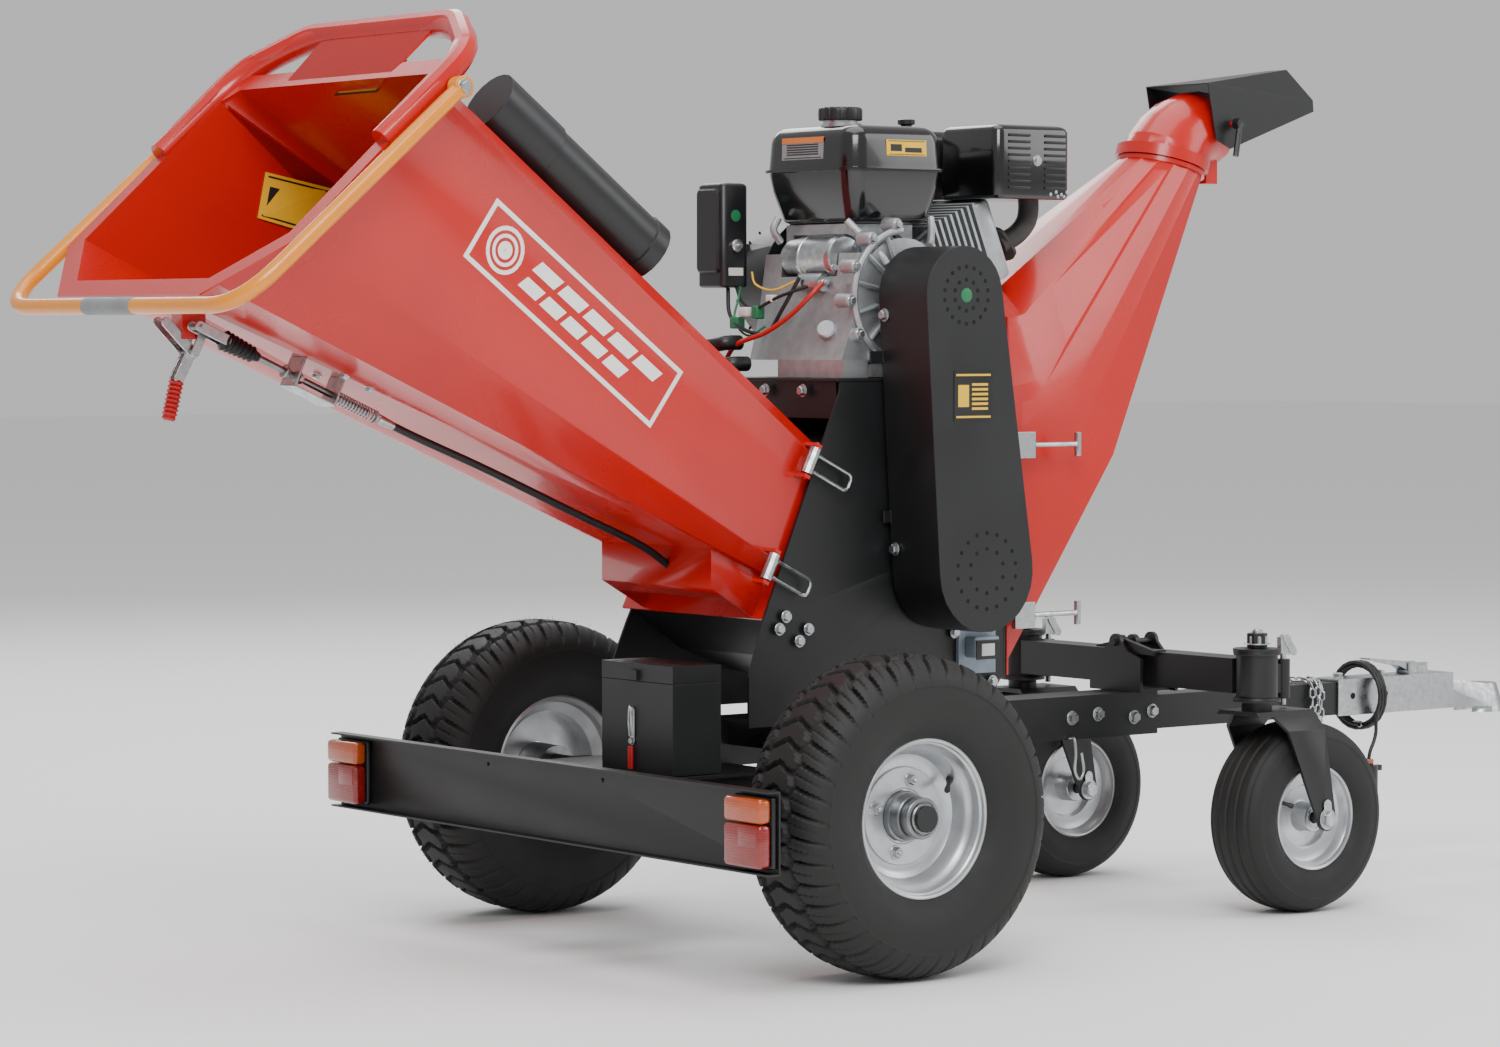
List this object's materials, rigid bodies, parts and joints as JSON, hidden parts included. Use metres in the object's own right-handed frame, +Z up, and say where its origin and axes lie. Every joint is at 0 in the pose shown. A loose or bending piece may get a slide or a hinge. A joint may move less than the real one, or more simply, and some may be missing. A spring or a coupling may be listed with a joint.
{
  "type": "wood chipper",
  "caption": "Towable petrol wood chipper with a slanted feed hopper, belt-driven rotor, rising chute with turning outlet, trailer wheels and folding front casters.",
  "frame": {"origin": "on the ground, at the middle of the whole machine's length and width", "axes": "+X towards the ball coupler, +Y to the side away from the drive belt, +Z up"},
  "size_m": [2.98, 1.22, 1.4883],
  "materials": {
    "red_powder_coat": "gloss",
    "black_powder_coat": "satin",
    "yellow_powder_coat": "gloss",
    "silver_rim_paint": "satin",
    "tyre_rubber": "matte",
    "zinc_plate": "satin",
    "machined_steel": "satin",
    "cast_aluminium": "matte",
    "black_plastic": "satin",
    "belt_rubber": "matte",
    "red_grip_rubber": "satin",
    "lamp_lens": "gloss",
    "meter_plastic": "satin"
  },
  "bodies": {
    "frame": {"chassis_frame": "black_powder_coat", "rear_axle": "black_powder_coat", "side_plate_left": "black_powder_coat", "side_plate_right": "black_powder_coat", "engine_deck": "black_powder_coat", "light_bar": "black_powder_coat", "tail_light_left": "lamp_lens", "tail_light_right": "lamp_lens", "battery_box": "black_powder_coat", "battery": "black_plastic", "drawbar": "black_powder_coat", "coupler": "zinc_plate", "caster_saddle": "black_powder_coat", "rotor_housing": "black_powder_coat", "belt_guard": "black_powder_coat", "meter_box": "meter_plastic", "engine_block": "cast_aluminium", "engine_cylinder": "cast_aluminium", "fuel_tank": "black_powder_coat", "muffler": "black_powder_coat", "air_cleaner": "black_plastic", "starter_motor": "zinc_plate", "control_box": "black_plastic", "recoil_starter": "black_powder_coat", "drive_belt": "belt_rubber", "lead_coil": "black_plastic", "lead_drop": "black_plastic", "lead_plug": "black_plastic", "safety_chain": "zinc_plate"},
    "hopper": {"hopper_shell": "red_powder_coat", "manual_tube": "black_plastic"},
    "stop_bar": {"stop_bar": "yellow_powder_coat"},
    "stop_lever": {"stop_lever": "red_grip_rubber"},
    "hopper_latch_upper": {"hopper_latch_upper": "zinc_plate"},
    "hopper_latch_lower": {"hopper_latch_lower": "zinc_plate"},
    "rear_wheel_left": {"rear_tyre_left": "tyre_rubber", "rear_rim_left": "silver_rim_paint"},
    "rear_wheel_right": {"rear_tyre_right": "tyre_rubber", "rear_rim_right": "silver_rim_paint"},
    "rotor": {"rotor": "machined_steel"},
    "drive_pulley": {"drive_pulley": "machined_steel"},
    "chute": {"chute_shell": "red_powder_coat"},
    "chute_latch_upper": {"chute_latch_upper": "zinc_plate"},
    "chute_latch_lower": {"chute_latch_lower": "zinc_plate"},
    "elbow": {"chute_elbow": "red_powder_coat"},
    "hood": {"chute_hood": "black_powder_coat"},
    "hood_clamp": {"hood_clamp": "black_plastic"},
    "battery_lid": {"battery_lid": "black_powder_coat"},
    "fuel_cap": {"fuel_cap": "black_plastic"},
    "coupler_lever": {"coupler_lever": "zinc_plate"},
    "caster_arm_left": {"caster_arm_left": "black_powder_coat"},
    "caster_fork_left": {"caster_fork_left": "black_powder_coat"},
    "caster_wheel_left": {"caster_tyre_left": "tyre_rubber", "caster_rim_left": "silver_rim_paint"},
    "swivel_lock_left": {"swivel_lock_left": "zinc_plate"},
    "caster_arm_right": {"caster_arm_right": "black_powder_coat"},
    "caster_fork_right": {"caster_fork_right": "black_powder_coat"},
    "caster_wheel_right": {"caster_tyre_right": "tyre_rubber", "caster_rim_right": "silver_rim_paint"},
    "swivel_lock_right": {"swivel_lock_right": "zinc_plate"}
  },
  "joints": [
    {"name": "rear_wheel_right_turn", "type": "hinge", "parent": "frame", "child": "rear_wheel_right", "pos_m": [-0.385, -0.492, 0.2525], "axis": [0, 1, 0], "continuous": true},
    {"name": "caster_fold_right", "type": "hinge", "parent": "frame", "child": "caster_arm_right", "pos_m": [0.563, 0, 0.4535], "axis": [1, 0, 0], "range_deg": [-80, 0]},
    {"name": "caster_swivel_right", "type": "hinge", "parent": "caster_arm_right", "child": "caster_fork_right", "pos_m": [0.563, -0.306, 0.346], "axis": [0, 0, 1], "continuous": true},
    {"name": "caster_wheel_right_turn", "type": "hinge", "parent": "caster_fork_right", "child": "caster_wheel_right", "pos_m": [0.657, -0.306, 0.1653], "axis": [0, 1, 0], "continuous": true},
    {"name": "swivel_lock_right_slide", "type": "slide", "parent": "caster_arm_right", "child": "swivel_lock_right", "axis": [0, 0, 1], "range_m": [-0.009, 0]},
    {"name": "rear_wheel_left_turn", "type": "hinge", "parent": "frame", "child": "rear_wheel_left", "pos_m": [-0.385, 0.492, 0.2525], "axis": [0, 1, 0], "continuous": true},
    {"name": "caster_fold_left", "type": "hinge", "parent": "frame", "child": "caster_arm_left", "pos_m": [0.563, 0, 0.4535], "axis": [-1, 0, 0], "range_deg": [-80, 0]},
    {"name": "caster_swivel_left", "type": "hinge", "parent": "caster_arm_left", "child": "caster_fork_left", "pos_m": [0.563, 0.306, 0.346], "axis": [0, 0, 1], "continuous": true},
    {"name": "caster_wheel_left_turn", "type": "hinge", "parent": "caster_fork_left", "child": "caster_wheel_left", "pos_m": [0.657, 0.306, 0.1653], "axis": [0, 1, 0], "continuous": true},
    {"name": "swivel_lock_left_slide", "type": "slide", "parent": "caster_arm_left", "child": "swivel_lock_left", "axis": [0, 0, 1], "range_m": [-0.009, 0]},
    {"name": "hopper_swing", "type": "hinge", "parent": "frame", "child": "hopper", "pos_m": [-0.33723, 0.206, 0.67572], "axis": [-0.4462, 0, -0.8949], "range_deg": [0, 55]},
    {"name": "stop_bar_swing", "type": "hinge", "parent": "hopper", "child": "stop_bar", "pos_m": [-1.1035, 0, 1.3585], "axis": [0, 1, 0], "range_deg": [-10, 0], "stiffness_Nm_per_rad": 130, "springref_deg": 11.46},
    {"name": "stop_lever_swing", "type": "hinge", "parent": "hopper", "child": "stop_lever", "pos_m": [-1.355, 0, 0.97], "axis": [0, 1, 0], "range_deg": [-25, 25]},
    {"name": "hopper_latch_upper_swing", "type": "hinge", "parent": "hopper", "child": "hopper_latch_upper", "pos_m": [-0.32976, -0.2035, 0.7938], "axis": [-0.4462, 0, -0.8949], "range_deg": [0, 100]},
    {"name": "hopper_latch_lower_swing", "type": "hinge", "parent": "hopper", "child": "hopper_latch_lower", "pos_m": [-0.4132, -0.2035, 0.62645], "axis": [-0.4462, 0, -0.8949], "range_deg": [0, 100]},
    {"name": "rotor_spin", "type": "hinge", "parent": "frame", "child": "rotor", "pos_m": [-0.0578, 0, 0.612], "axis": [0, 1, 0], "continuous": true},
    {"name": "drive_pulley_spin", "type": "hinge", "parent": "frame", "child": "drive_pulley", "pos_m": [-0.106, -0.262, 1.06], "axis": [0, 1, 0], "continuous": true},
    {"name": "chute_swing", "type": "hinge", "parent": "frame", "child": "chute", "pos_m": [0.104, 0.202, 0.73], "axis": [0, 0, 1], "range_deg": [0, 75]},
    {"name": "chute_latch_upper_swing", "type": "hinge", "parent": "chute", "child": "chute_latch_upper", "pos_m": [0.114, -0.194, 0.812], "axis": [0, 0, 1], "range_deg": [-90, 0]},
    {"name": "chute_latch_lower_swing", "type": "hinge", "parent": "chute", "child": "chute_latch_lower", "pos_m": [0.114, -0.194, 0.527], "axis": [0, 0, 1], "range_deg": [-90, 0]},
    {"name": "elbow_turn", "type": "hinge", "parent": "chute", "child": "elbow", "pos_m": [0.6195, 0, 1.2988], "axis": [0.2588, 0, 0.9659], "range_deg": [-150, 150]},
    {"name": "hood_tilt", "type": "hinge", "parent": "elbow", "child": "hood", "pos_m": [0.713, 0, 1.368], "axis": [0, 1, 0], "range_deg": [-8, 20]},
    {"name": "hood_clamp_turn", "type": "hinge", "parent": "hood", "child": "hood_clamp", "pos_m": [0.713, -0.0975, 1.368], "axis": [0, 1, 0], "range_deg": [0, 90]},
    {"name": "battery_lid_open", "type": "hinge", "parent": "frame", "child": "battery_lid", "pos_m": [-0.484, -0.078, 0.445], "axis": [0, 1, 0], "range_deg": [0, 100]},
    {"name": "fuel_cap_turn", "type": "hinge", "parent": "frame", "child": "fuel_cap", "pos_m": [-0.14, -0.04, 1.352], "axis": [0, 0, 1], "continuous": true},
    {"name": "coupler_lever_lift", "type": "hinge", "parent": "frame", "child": "coupler_lever", "pos_m": [1.259, 0, 0.376], "axis": [0, 1, 0], "range_deg": [0, 25]}
  ],
  "couplings": [
    {"joint": "drive_pulley_spin", "follows": "rotor_spin", "ratio": 1.578}
  ]
}
